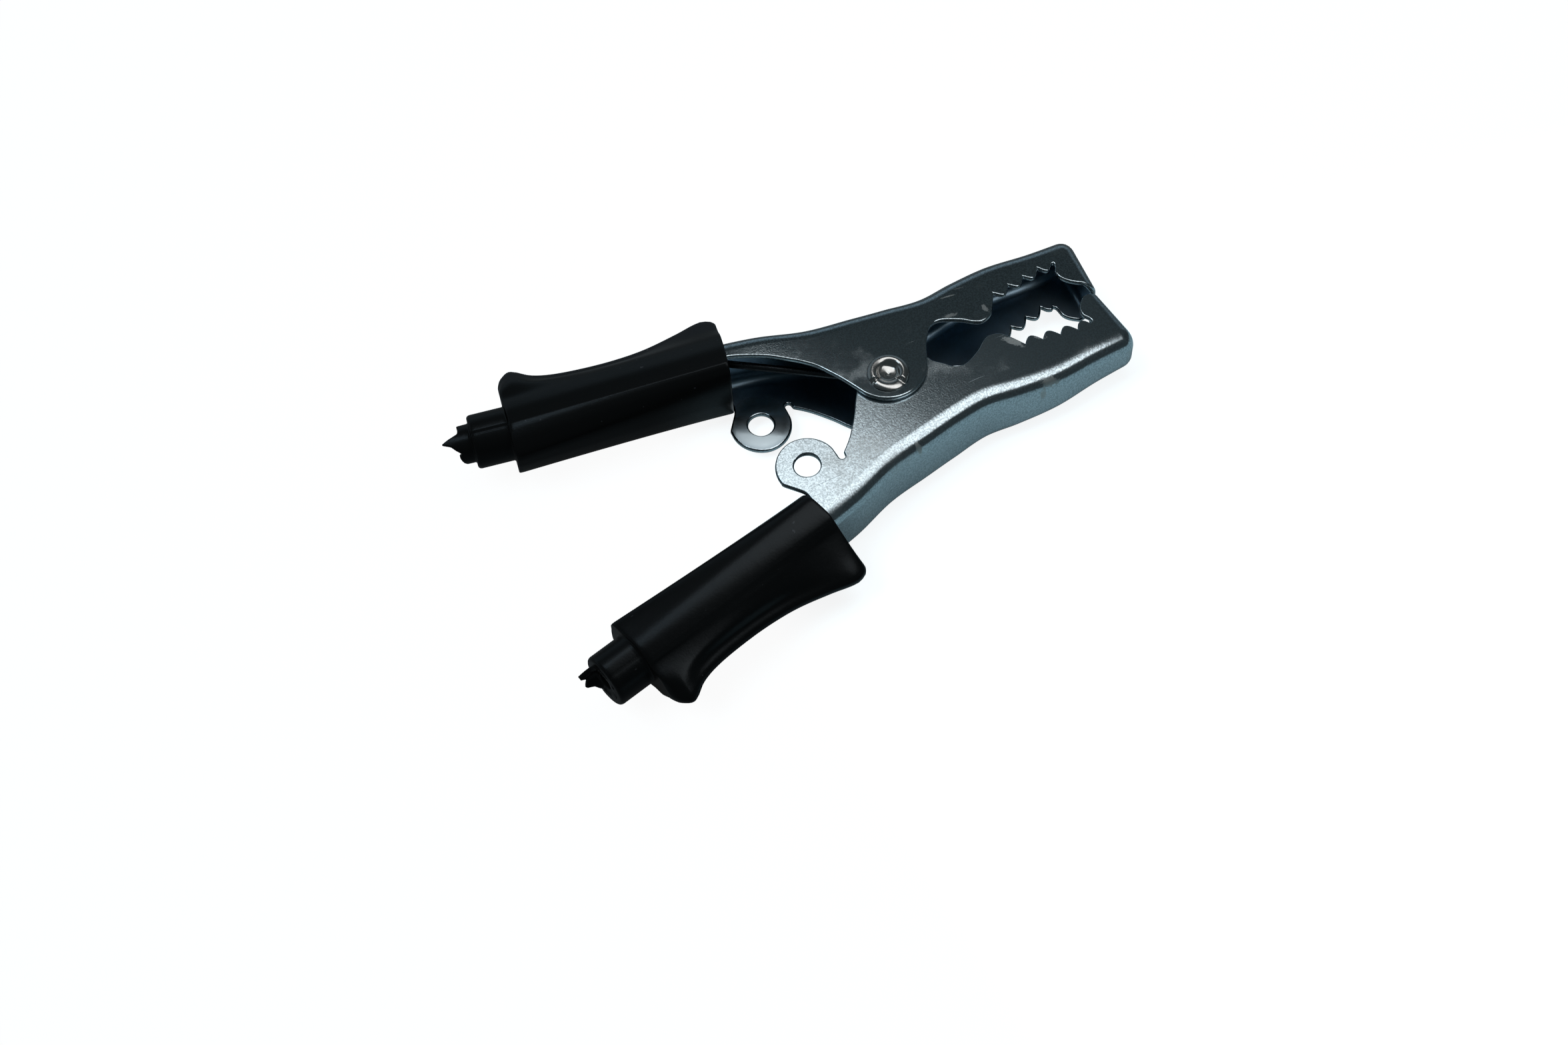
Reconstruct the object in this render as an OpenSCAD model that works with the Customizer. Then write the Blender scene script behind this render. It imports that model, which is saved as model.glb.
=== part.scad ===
// Sprung earth clamp: two flipped copies of one pressed-steel jaw, a hollow rivet, a torsion
// spring and two soft grips. All sizes are in millimetres.
// The origin is the bite point, on the front of the closed noses at mid-width. +X leaves the mouth,
// +Y goes towards the upper jaw and +Z goes along the rivet.

/* [Sheet] */
// Thickness of the sheet
sheet_t = 2; // [1.6:0.1:2.4]
// Outer radius of the long bends
bend_r = 6; // [4:0.5:6.5]
// Gap between two plates that slide on each other
plate_gap = 0.15; // [0.1:0.05:0.3]

/* [Jaw] */
// Width of the channel over its plates, at the pivot
channel_w = 26.3; // [22:0.1:30]
// Width over the plates at the nose
nose_w = 17.5; // [14:0.1:20]
// From the pivot to the front of the jaw
jaw_len = 80; // [78:0.5:90]
// Height of the back over the pivot
hub_h = 27.2; // [25:0.1:29]
// Height of the back at the waist, just ahead of the pivot
waist_h = 23.4; // [22:0.1:25]
// Height of the back over the teeth
back_h = 25.4; // [24:0.1:28]
// Height of the back at the nose
nose_h = 23.2; // [21:0.1:25]
// Radius of the edges round the nose
nose_r = 4.4; // [3:0.1:5]
// How far the front leans back at the seam, in degrees
front_lean = 6; // [0:0.5:8]
// Gap left between the closed noses
seam_gap = 0.2; // [0.1:0.05:0.6]

/* [Mouth] */
// How much further the inner plate comes down than the outer one
mouth_step = 4.2; // [3:0.1:5]
// Highest point of the throat, on the outer plate
throat_h = 10.8; // [10:0.1:13]
// Lowest point of the hump, on the outer plate
hump_h = 4.3; // [4:0.1:6]
// Number of full teeth
teeth = 3; // [2:1:3]
// Length of a tooth
tooth_pitch = 6.1; // [5:0.1:6.4]
// Height of a tooth
tooth_h = 2.6; // [1:0.1:3]
// Root of the first tooth, on the outer plate
tooth_root_h = 12.6; // [11.5:0.1:14]
// Rise of the row of teeth towards the nose, in degrees
tooth_rise = 8; // [4:0.5:10]

/* [Pivot] */
// Diameter of the rivet's shank
rivet_d = 7.8; // [6:0.1:9]
// Radial clearance of the shank in the plates
rivet_clear = 0.05; // [0.02:0.01:0.09]
// Diameter of the two heads
head_d = 13.8; // [12:0.1:16]
// Height of the rolled head
rolled_h = 2; // [1.5:0.1:3]
// Height of the domed head
dome_h = 2.2; // [1.5:0.1:3]
// Depth of the hollow, from the top of the rolled head
hollow_depth = 7; // [4:0.5:12]
// Radius of the round lobe of each plate
lobe_r = 13.1; // [11:0.1:14]

/* [Lug] */
// Bolt hole for the cable's eye
lug_hole_d = 8.4; // [6:0.1:10.5]
// Distance of the hole behind the pivot
lug_x = 38.3; // [37:0.1:40]
// Distance of the hole from the middle plane
lug_y = 16.7; // [15:0.1:18]
// Radius of the lug round its hole
lug_r = 10.2; // [8:0.1:10.4]

/* [Handle] */
// Angle of a handle to the middle plane, in degrees
handle_angle = 12.2; // [9:0.1:14]
// Height of the handle's axis at its root
handle_y = 31; // [30:0.1:33]
// Height of the handle's back over its axis
tang_back = 7.2; // [6:0.1:8]
// Depth of the plates in the grip, below the axis
tang_depth = 0.6; // [0:0.1:2]
// Length of the tang in the grip
tang_len = 46; // [30:1:56]
// Width of the tang at its end
tang_end_w = 19; // [16:0.5:22]

/* [Spring] */
// Diameter of the wire
wire_d = 2.5; // [1.8:0.1:2.8]
// Mean diameter of the coil
coil_d = 12; // [11:0.2:14]
// Number of full turns between the legs
coil_turns = 4; // [2:1:4]
// Rise of one turn
coil_pitch = 3.1; // [2.9:0.05:3.2]
// Gap between a leg and the web that it presses on
leg_gap = 0.2; // [0.1:0.05:0.5]
// Distance of a leg's end behind the pivot
leg_reach = 40; // [34:1:42]

/* [Grip] */
// Front of the grip, along the handle from its root
grip_start = 3; // [2:0.5:6]
// Rear face of the sleeve, along the handle from its root
grip_end = 75.8; // [75:0.1:80]
// Wall of the sleeve beside the tang
grip_wall = 1.5; // [1.2:0.1:2]
// Clearance round the tang
grip_clear = 0.15; // [0.05:0.05:0.3]
// Depth of the sleeve below the handle's axis, at its front
grip_depth = 8.8; // [8.6:0.1:11]
// The same at its rear
grip_rear_depth = 13.5; // [11:0.1:14]
// Width of the sleeve at its rear
grip_rear_w = 19.4; // [18:0.1:22]
// Height of the guard at the front
guard_h = 23.6; // [20:0.1:26]
// Height of the palm side at the waist
waist_of_grip = 16.9; // [14:0.1:18]
// Height of the lip at the rear
lip_h = 22.6; // [19:0.1:24]
// Thickness of the fin along its edge
fin_t = 6.4; // [5:0.1:8]

/* [Nozzle] */
// Diameter of the first step
nozzle_d = 17.6; // [16:0.1:18]
// How far the nozzle's axis lies below the handle's
nozzle_drop = 0.8; // [0:0.1:1.5]
// Length of the first step
nozzle_len = 12.4; // [8:0.1:16]
// Diameter of the second step, which is torn open
tip_d = 12.8; // [12:0.1:14]
// Length of the longest petal of the upper grip's second step
upper_petal = 10.7; // [6:0.1:12]
// Length of the longest petal of the lower grip's second step
lower_petal = 5.2; // [3:0.1:8]
// Bore for the cable
cable_bore_d = 9.6; // [8:0.1:10.4]

/* [Hidden] */
round_n = 64;
bend_steps = 6;
// Offset of each channel to its own outer side, so that its inner plate runs inside the other jaw
side_step = (sheet_t + plate_gap) / 2;
outer_face = channel_w / 2 + side_step;
bore_r = rivet_d / 2 + rivet_clear;
// Where the plates start to taper towards the nose, and towards the end of the tang
taper_x = 12;
handle_x = 40;
tang_x = handle_x + tang_len * cos(handle_angle);
handle_slope = tan(handle_angle);
// Cuts reach past the plates by this much
past = 3;
// Centre of the lobe round the pivot
lobe_at = [1.4, 3.5];
// Bite point, where the leaning front meets the middle plane
lean_height = 15;
reach = jaw_len - lean_height * tan(front_lean);

// Smooth curve through points [x, y], with x rising
function run(p, i) = p[i + 1][0] - p[i][0];
function slope_at(p, i) =
    let (a = max(i - 1, 0), b = min(i + 1, len(p) - 1))
    (p[b][1] - p[a][1]) / (p[b][0] - p[a][0]);
function span_of(p, x, i = 0) = i >= len(p) - 2 || x < p[i + 1][0] ? i : span_of(p, x, i + 1);
function along(p, x) =
    let (i = span_of(p, x), h = run(p, i), u = (x - p[i][0]) / h)
    let (a = p[i][1], b = p[i + 1][1], ma = slope_at(p, i) * h, mb = slope_at(p, i + 1) * h)
    a + u * (ma + u * (3 * (b - a) - 2 * ma - mb + u * (2 * (a - b) + ma + mb)));
function arc(c, r, from, to, n) =
    [for (i = [0:n]) let (a = from + (to - from) * i / n) [c[0] + r * cos(a), c[1] + r * sin(a)]];

// Height of the handle's axis at x, and points given along and off that axis
function axis_y(x) = handle_y + (-handle_x - x) * handle_slope;
function on_handle(s, n) = [
    -handle_x - s * cos(handle_angle) + n * sin(handle_angle),
    handle_y + s * sin(handle_angle) + n * cos(handle_angle)
];
function tang_back_y(x) = axis_y(x) + tang_back / cos(handle_angle);

// The back of the jaw, from the tang to the nose
back_line = [
    [-tang_x - 10, tang_back_y(-tang_x - 10)], [-60, tang_back_y(-60)], [-45, tang_back_y(-45)],
    [-30, (tang_back_y(-45) + 2 * hub_h) / 3 + 4.3], [-15, hub_h + 2.9], [0, hub_h],
    [12, (hub_h + waist_h) / 2 - 0.3], [24, waist_h], [36, (waist_h + back_h) / 2 + 0.3],
    [50, back_h], [65, (back_h + nose_h) / 2 - 0.35], [jaw_len, nose_h]
];
// Half width over the plates
function half_w(x) =
    x > taper_x ? channel_w / 2 - (channel_w - nose_w) / 2 * (x - taper_x) / (jaw_len - 2 - taper_x) :
    x < -handle_x ? channel_w / 2 - (channel_w - tang_end_w) / 2 * (-handle_x - x) / (tang_x - handle_x) :
    channel_w / 2;

// One ring of the pressed body, drawn in by d all round, rounded at the nose
function ring_at(x, d, floor_y) =
    let (r = nose_r - d, far = jaw_len - nose_r, over = max(0, x - far))
    let (pinch = over > 0 ? r - sqrt(max(0, r * r - over * over)) : 0)
    let (w = half_w(min(x, far + over)) - d - pinch, top = along(back_line, x) - d - pinch)
    let (b = max(0.4, bend_r - d - pinch), lean = tan(front_lean) * min(1, max(0, x - 66) / 14))
    [for (p = concat(
        [[floor_y, -w]],
        arc([top - b, -w + b], b, -90, 0, bend_steps),
        arc([top - b, w - b], b, 0, 90, bend_steps),
        [[floor_y, w]]
    )) [x - lean * (lean_height - p[0]), p[0], p[1]]];

// Skin of rings that all have the same number of points
module skin(rings) {
    n = len(rings[0]);
    last = len(rings) - 1;
    polyhedron(
        points = [for (r = rings) each r],
        faces = concat(
            [[for (j = [0:n - 1]) j]],
            [for (i = [0:last - 1], j = [0:n - 1]) [i * n + j, (i + 1) * n + j, (i + 1) * n + (j + 1) % n]],
            [for (i = [0:last - 1], j = [0:n - 1]) [i * n + j, (i + 1) * n + (j + 1) % n, i * n + (j + 1) % n]],
            [[for (j = [n - 1:-1:0]) last * n + j]]
        ),
        convexity = 8
    );
}

body_stations = concat(
    [-60, -45], [for (x = [-handle_x:5:-5]) x], [0, 6, taper_x], [for (x = [18:6:66]) x],
    [71, jaw_len - nose_r]
);
module body(d, start, floor_y) {
    tip = nose_r - d;
    nose = [for (a = [22.5:22.5:67.5]) jaw_len - nose_r + tip * sin(a)];
    stations = concat([start], body_stations, nose, [jaw_len - d - 0.06]);
    skin([for (x = stations) ring_at(x, d, floor_y)]);
}

// Lower edge of a plate, from the tang to the nose. drop is how much further it comes down than
// the outer plate's.
function mouth_curve(drop) =
    let (p = [
        [18.6, throat_h - 3.3 - drop], [20.9, throat_h - 0.9 - drop], [24.6, throat_h - drop],
        [31, (throat_h + hump_h) / 2 + 0.4 - drop], [34.7, hump_h + 0.9 - drop], [37.4, hump_h - drop],
        [41, hump_h + 1.1 - drop], [43, hump_h + 3.3 - drop], [tooth_x, tooth_root_h - drop]
    ])
    [for (x = [18.6:1.2:tooth_x - 0.5]) [x, along(p, x)]];
tooth_x = 46.2;
function tooth_y(x, drop) = tooth_root_h - drop + (x - tooth_x) * tan(tooth_rise);
function tooth_row(drop) = [
    for (k = [0:teeth - 1], i = [0:6])
        let (x = tooth_x + (k + i / 6) * tooth_pitch)
        if (i < 6 || k == teeth - 1) [x, tooth_y(x, drop) - tooth_h * sin(30 * i)]
];
function nose_edge(drop) =
    let (last = tooth_x + teeth * tooth_pitch, notch_x = 69.6)
    [for (p = [
        [last + 1.2, tooth_y(last, drop) - 0.7 * tooth_h], [last + 2.6, tooth_y(last, drop) - tooth_h],
        [last + 3.6, tooth_y(last, drop) - 0.8 * tooth_h], [notch_x - 0.9, tooth_y(notch_x, drop) - 1.6],
        [notch_x, tooth_y(notch_x, drop) - 0.2], [notch_x + 0.8, tooth_y(notch_x, drop) - 0.6],
        [notch_x + 0.3, tooth_y(notch_x, drop) - 2.6], [notch_x - 0.7, 11.4 - drop],
        [notch_x - 0.5, 8.8 - drop], [notch_x + 0.9, 6.5 - drop], [notch_x + 3.4, 4.3 - drop],
        [notch_x + 5.7, 2.9 - drop], [notch_x + 7.3, 1.1 - drop], [notch_x + 8, 0], [reach + past, 0]
    ]) [p[0], max(seam_gap / 2, p[1])]];
function lobe_edge() = arc(lobe_at, lobe_r, 200, 340, 20);

outer_edge = concat(
    [[-tang_x - past, axis_y(-tang_x - past) - tang_depth]],
    [[-46, axis_y(-46) - tang_depth], [-42.4, axis_y(-42.4) - tang_depth]],
    [[-36.5, 28.2], [-30.7, 24.8], [-25.5, 20.6], [-22.3, 17.8], [-18.8, 14], [-16.3, 10], [-13.7, 5.2]],
    lobe_edge(),
    [[14.6, 0.5], [16.4, 4.2]],
    mouth_curve(0), tooth_row(0), nose_edge(0)
);
lug_at = [-lug_x, lug_y];
notch_w = 1.1;
inner_edge = concat(
    [[-tang_x - past, axis_y(-tang_x - past) - tang_depth]],
    [[-43, axis_y(-43) - tang_depth], [-43.1, 28], [-43.7, 25.3], [-45.4, 22.9]],
    arc(lug_at, lug_r, 165, 350, 18),
    [[-lug_x + lug_r - 0.4, lug_y + 1]],
    arc([-lug_x + lug_r + notch_w, lug_y + 2.2], notch_w, 180, 30, 6),
    [[-21.5, 13.7], [-16.7, 7.6], [-13.7, 3]],
    lobe_edge(),
    [[14.6, -1.2], [16, 0.8]],
    mouth_curve(mouth_step), tooth_row(mouth_step), nose_edge(mouth_step)
);
under_y = -18;
// Takes away what lies below a plate's edge
module below(edge) {
    linear_extrude(outer_face + past)
        polygon(concat(edge, [[reach + past, under_y], [-tang_x - past, under_y]]));
}

// One pressed jaw, standing in the channel's own middle plane
module pressing() {
    difference() {
        body(0, -tang_x, -15);
        body(sheet_t, -tang_x - past, -16);
        below(outer_edge);
        mirror([0, 0, 1]) below(inner_edge);
        cylinder(h = 2 * outer_face + past, r = bore_r, center = true, $fn = round_n);
        translate([-lug_x, lug_y, -channel_w / 2 - past])
            cylinder(h = past + sheet_t + past, d = lug_hole_d, $fn = round_n);
    }
}

// Puts what is drawn round the pivot in the part's frame
module from_pivot() {
    translate([-reach, 0, 0]) children();
}
module upper_side() {
    from_pivot() translate([0, 0, side_step]) children();
}
module lower_side() {
    from_pivot() rotate([180, 0, 0]) translate([0, 0, side_step]) children();
}

module lower_jaw() {
    color([0.62, 0.65, 0.68]) lower_side() pressing();
}
module upper_jaw() {
    color([0.68, 0.7, 0.73]) upper_side() pressing();
}

// Rolled head over the upper jaw, domed head under the lower one
module pivot_rivet() {
    seat = outer_face + plate_gap / 2;
    r = rivet_d / 2;
    rim = head_d / 2;
    crest = 0.76 * rim;
    mouth = 0.6 * rim;
    hollow = 0.36 * rim;
    top = seat + rolled_h;
    color([0.5, 0.45, 0.4]) from_pivot() rotate_extrude($fn = round_n)
        polygon(concat(
            [[0, -seat - dome_h]],
            [for (a = [75:-15:0]) [rim * cos(a), -seat - dome_h * sin(a)]],
            [[r, -seat], [r, seat], [rim - 0.3, seat]],
            [for (a = [0:22.5:90]) [crest + (rim - crest) * cos(a), seat + 0.3 + (rolled_h - 0.3) * sin(a)]],
            [[(crest + mouth) / 2, top - 0.12], [mouth, top - 0.7], [hollow + 0.3, top - 2]],
            [[hollow, top - hollow_depth + 1.2], [0, top - hollow_depth]]
        ));
}

// Wire that follows a list of points, six-sided, square to its path
wire_sides = 6;
function unit(v) = v / norm(v);
function heading(p, i) = unit(p[min(i + 1, len(p) - 1)] - p[max(i - 1, 0)]);
function wire_ring(p, i) =
    let (d = heading(p, i), side = unit(cross(d, [0, 0, 1])), up = cross(side, d))
    [for (k = [0:wire_sides - 1]) let (a = 360 * k / wire_sides)
        p[i] + wire_d / 2 * (side * cos(a) + up * sin(a))];

coil_r = coil_d / 2;
rings_per_turn = 8;
// The coil runs from its top to its bottom, where the two legs leave it
sweep = 360 * coil_turns + 180;
coil_z = coil_pitch * sweep / 360 / 2;
coil_steps = rings_per_turn * sweep / 360;
// The upper leg: off the coil's top, then up to the web of the upper handle
leg_end = [-leg_reach, along(back_line, -leg_reach) - sheet_t - leg_gap - wire_d / 2 - 0.8];
leg_bend = [-7.5, coil_r + 1.6];
function leg_points(z) = [
    [leg_end[0], leg_end[1], z], [leg_bend[0] - 5.5, leg_bend[1] + 4.4, z],
    [leg_bend[0], leg_bend[1], z], [-3.4, coil_r + 0.15, z]
];
function flipped(p) = [for (i = [len(p) - 1:-1:0]) [p[i][0], -p[i][1], -p[i][2]]];
coil_points = [for (i = [0:coil_steps]) let (u = i / coil_steps, a = 90 - sweep * u)
    [coil_r * cos(a), coil_r * sin(a), coil_z * (1 - 2 * u)]];
wire_path = concat(leg_points(coil_z), coil_points, flipped(leg_points(coil_z)));
// Least gap between two stretches of the wire that lie over one turn apart
turn_gap = min([for (i = [0:coil_steps - rings_per_turn])
    norm(coil_points[i + rings_per_turn] - coil_points[i])]) - wire_d;
echo(least_gap_of_coil = turn_gap);

module torsion_spring() {
    color([0.42, 0.43, 0.45]) from_pivot()
        skin([for (i = [0:len(wire_path) - 1]) wire_ring(wire_path, i)]);
}

// Height of the palm side along the grip
palm_line = [
    [grip_start, guard_h - 0.4], [7, guard_h], [14.7, (guard_h + waist_of_grip) / 2 + 0.9],
    [26.4, waist_of_grip + 1.3], [37.4, waist_of_grip + 0.1], [48.7, waist_of_grip],
    [58.3, waist_of_grip + 0.7], [64.5, (waist_of_grip + lip_h) / 2 - 0.5], [70.8, lip_h],
    [74.4, lip_h - 2.3], [grip_end + 0.1, lip_h - 5]
];
// One ring of the grip, drawn in by d: the sleeve with its fin. The fin's face starts lower on
// the outer plate's side than on the other one.
function grip_ring(s, d) =
    let (u = (s - grip_start) / (grip_end - grip_start), f = fin_t / 2)
    let (front = channel_w / 2 + grip_clear + grip_wall, w = front + (grip_rear_w / 2 - front) * u)
    let (low = -grip_depth - (grip_rear_depth - grip_depth) * pow(u, 1.25))
    let (top = along(palm_line, s), fold = 8.9 - 2 * u)
    let (a = w - 0.1, b = w, ledge = tang_back + 1.2 - 2 * u)
    [for (p = [
        [low + d, 0], [low + 0.35 + d, 0.38 * a], [low + 1.7, 0.72 * a - d / 2], [low + 3.5, 0.92 * a - d],
        [-3.6 + 0.6 * u, a - d], [0.5, a - 0.25 - d], [3.4, a - 1 - d], [ledge - 1.2, 0.82 * a - d],
        [ledge + 2.2, 0.6 * a - d], [(ledge + top) / 2, f + 1.3 - d], [top - 3, f - d],
        [top - 1.2 - d / 2, 0.8 * f - d / 2], [top - 0.2 - d, 0.35 * f],
        [top - 0.2 - d, -0.35 * f], [top - 1.2 - d / 2, -0.8 * f + d / 2], [top - 3, -f + d],
        [(fold + top) / 2, -f - 0.7 + d], [fold + 1.6, -0.58 * b + d], [fold, -0.74 * b + d],
        [fold - 1.4, -0.85 * b + d], [fold - 4, -0.97 * b + d], [0, -b + d], [-3.5, -0.97 * b + d],
        [low + 2.8, -0.84 * b + d], [low + 1.1, -0.62 * b + d / 2], [low + 0.25 + d, -0.3 * b]
    ]) let (q = on_handle(s, p[0])) [q[0], q[1], p[1]]];
// Hollow for the tang and the cable
function pocket_ring(s) =
    let (x = on_handle(s, tang_back)[0], w = half_w(x) + grip_clear, r = bend_r - 0.4)
    let (top = tang_back + grip_clear, low = -grip_depth + 2.2)
    [for (p = concat(
        [[low, w - 4.5], [low + 1.4, w - 1.4], [low + 4.5, w]],
        arc([top - r, w - r], r, 90, 0, 4),
        arc([top - r, -w + r], r, 0, -90, 4),
        [[low + 4.5, -w], [low + 1.4, -w + 1.4], [low, -w + 4.5]]
    )) let (q = on_handle(s, p[0])) [q[0], q[1], p[1]]];
pocket_end = tang_len + 6;

// Draws what stands along +Z from the handle's root along the nozzle's axis
module down_handle(s) {
    at = on_handle(s, -nozzle_drop);
    translate([at[0], at[1], 0])
        rotate([0, 0, -handle_angle]) rotate([0, -90, 0]) children();
}

// Second step of the nozzle, torn off along tear, which holds [turn, height] points all the way round
tear_steps = 48;
tear_root = grip_end + nozzle_len;
function tear_ring(tear, r) =
    [for (i = [tear_steps:-1:1]) let (a = 360 * i / tear_steps)
        let (q = on_handle(tear_root + lookup(a, tear), r * cos(a) - nozzle_drop)) [q[0], q[1], r * sin(a)]];
module torn_tip(tear) {
    skin([
        tear_ring([[0, -1], [360, -1]], tip_d / 2), tear_ring(tear, tip_d / 2),
        tear_ring(tear, cable_bore_d / 2 - 0.6), tear_ring([[0, -0.5], [360, -0.5]], 1)
    ]);
}

module grip(tear) {
    difference() {
        union() {
            skin(concat(
                [grip_ring(grip_start, 0.5), grip_ring(grip_start + 0.5, 0)],
                [for (s = [grip_start + 5:4.6:70]) grip_ring(s, 0)],
                [for (s = [70.8, 72.8, 74.4]) grip_ring(s, 0)],
                [grip_ring(grip_end - 0.6, 0.15), grip_ring(grip_end, 0.8)]
            ));
            down_handle(grip_end - 4) cylinder(h = nozzle_len + 4, d = nozzle_d, $fn = round_n);
            torn_tip(tear);
        }
        skin([for (s = [grip_start - past, 14, 30, 44, pocket_end]) pocket_ring(s)]);
        down_handle(pocket_end - 1)
            cylinder(h = tear_root + 20 - pocket_end, d = cable_bore_d, $fn = round_n);
    }
}

module lower_grip() {
    color([0.12, 0.12, 0.13]) lower_side() grip([
        [0, 0.7], [100, 0.7], [120, 1.6], [135, lower_petal - 0.8], [160, 0.5 * lower_petal],
        [190, lower_petal], [210, 1.6], [228, 0.7], [360, 0.7]
    ]);
}
module upper_grip() {
    color([0.1, 0.1, 0.11]) upper_side() grip([
        [0, 1], [20, 2], [42, 3.9], [54, 3.3], [84, 3.2], [96, 0.6 * upper_petal], [108, upper_petal],
        [120, 0.62 * upper_petal], [150, 4], [162, 4.9], [180, 4.4], [216, 2.8], [258, 3.8], [300, 1.4],
        [330, 2], [360, 1]
    ]);
}

lower_jaw();
upper_jaw();
pivot_rivet();
torsion_spring();
lower_grip();
upper_grip();
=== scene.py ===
import math

import bpy
from mathutils import Matrix, Vector, noise
from mathutils.geometry import delaunay_2d_cdt


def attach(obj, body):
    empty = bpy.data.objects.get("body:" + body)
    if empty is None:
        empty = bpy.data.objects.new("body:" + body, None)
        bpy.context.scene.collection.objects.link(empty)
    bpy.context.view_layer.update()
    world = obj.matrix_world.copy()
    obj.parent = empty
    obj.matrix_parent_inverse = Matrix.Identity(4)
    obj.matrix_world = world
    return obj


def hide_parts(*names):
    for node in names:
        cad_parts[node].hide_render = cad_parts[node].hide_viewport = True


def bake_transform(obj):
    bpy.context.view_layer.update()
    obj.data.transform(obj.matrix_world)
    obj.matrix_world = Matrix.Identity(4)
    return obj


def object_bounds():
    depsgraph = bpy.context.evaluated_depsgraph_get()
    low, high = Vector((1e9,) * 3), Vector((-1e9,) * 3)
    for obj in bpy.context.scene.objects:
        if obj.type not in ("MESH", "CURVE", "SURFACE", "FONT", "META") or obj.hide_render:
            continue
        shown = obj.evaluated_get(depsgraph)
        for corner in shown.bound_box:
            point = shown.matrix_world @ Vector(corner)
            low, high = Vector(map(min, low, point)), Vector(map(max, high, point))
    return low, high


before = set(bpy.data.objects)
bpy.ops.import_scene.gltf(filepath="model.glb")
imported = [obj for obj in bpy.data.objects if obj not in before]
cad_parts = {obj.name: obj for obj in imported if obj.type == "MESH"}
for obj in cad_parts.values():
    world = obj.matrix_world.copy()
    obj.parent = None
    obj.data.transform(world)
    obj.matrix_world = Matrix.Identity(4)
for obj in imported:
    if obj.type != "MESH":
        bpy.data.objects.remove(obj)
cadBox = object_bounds()
print("frame loaded:", sorted(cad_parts))

# Sprung earth clamp: two pressed jaws, two grips, a spring and a rivet.
# Everything is drawn in millimetres round the pivot, then moved to the row frame in metres.
mm = 0.001
reach = 80 - 15 * math.tan(math.radians(6))  # from the pivot to the bite point


def rowPoint(p):
    return ((p[0] - reach) * mm, p[1] * mm, p[2] * mm)


def upperSide(p):
    return (p[0], p[1], p[2] + sideStep)


def lowerSide(p):
    return (p[0], -p[1], -(p[2] + sideStep))


view = {
    "place": (-0.3119034, -0.41653, 0.72576),
    "right": (0.88487255, -0.46494506, -0.0287515),
    "up": (0.41301268, 0.75449492, 0.51005681),
    "back": (-0.21545553, -0.46321, 0.85966005),
    "lens": 61.22,
}
studio = {
    "softboxAngle": -66,       # turn of the overhead box, in degrees
    "softboxSize": (0.46, 0.145),
    "softboxHeight": 0.30,
    "softboxGlow": 1.9,
    "softboxCorner": (0.044, 0.199),  # its far left corner, from the pivot
    "stripPlace": (-0.105, 0.093),    # a narrow box over the grips, from the pivot
    "stripSize": (0.17, 0.05),
    "stripGlow": 3.2,
    "stripColour": (0.72, 0.88, 1.0),
    "sunPlace": (-0.6, 0.12, 0.9),
    "sunStrength": 1.6,
    "sunSpread": 35,
    "worldGlow": (0.042, 0.053, 0.057),
    "wallGlow": (0.20, 0.26, 0.30),
    "floorColour": (0.30, 0.44, 0.49),
    "floorShade": (0.07, 0.09, 0.10),  # painted shade: the floor behind the clamp and under its grips is darker, for what the metal and grips mirror
    "floorReach": 4.0,
    "backSlope": 0.21,         # slope of the clamp's back edge across the paper
    "floorLift": 0.86,         # lifts the floor to white for the camera
    "liftBehind": 0.09,        # more of it where the floor has its painted shade
    "mirrorLift": 0.04,        # and a little for what the metal mirrors
}


def buildCamera():
    camera = bpy.data.objects.new("camera", bpy.data.cameras.new("camera"))
    bpy.context.scene.collection.objects.link(camera)
    turn = Matrix((view["right"], view["up"], view["back"])).transposed()
    camera.matrix_world = Matrix.Translation(view["place"]) @ turn.to_4x4()
    camera.data.lens = view["lens"]
    camera.data.sensor_width = 36
    camera.data.sensor_fit = "HORIZONTAL"
    camera.data.clip_start = 0.01
    bpy.context.scene.camera = camera


def addLamp(name, kind, place, aim, size, power, colour=(1, 1, 1)):
    lamp = bpy.data.lights.new(name, kind)
    lamp.color = colour
    if kind == "AREA":
        lamp.shape = "RECTANGLE"
        lamp.size, lamp.size_y = size
        lamp.energy = power * math.pi * size[0] * size[1]  # power is the glow of its face
    else:
        lamp.energy = power
        lamp.angle = math.radians(size)
    obj = bpy.data.objects.new(name, lamp)
    bpy.context.scene.collection.objects.link(obj)
    obj.location = place
    obj.rotation_euler = (Vector(place) - Vector(aim)).to_track_quat("Z", "Y").to_euler()
    obj.visible_camera = False
    return obj


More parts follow.
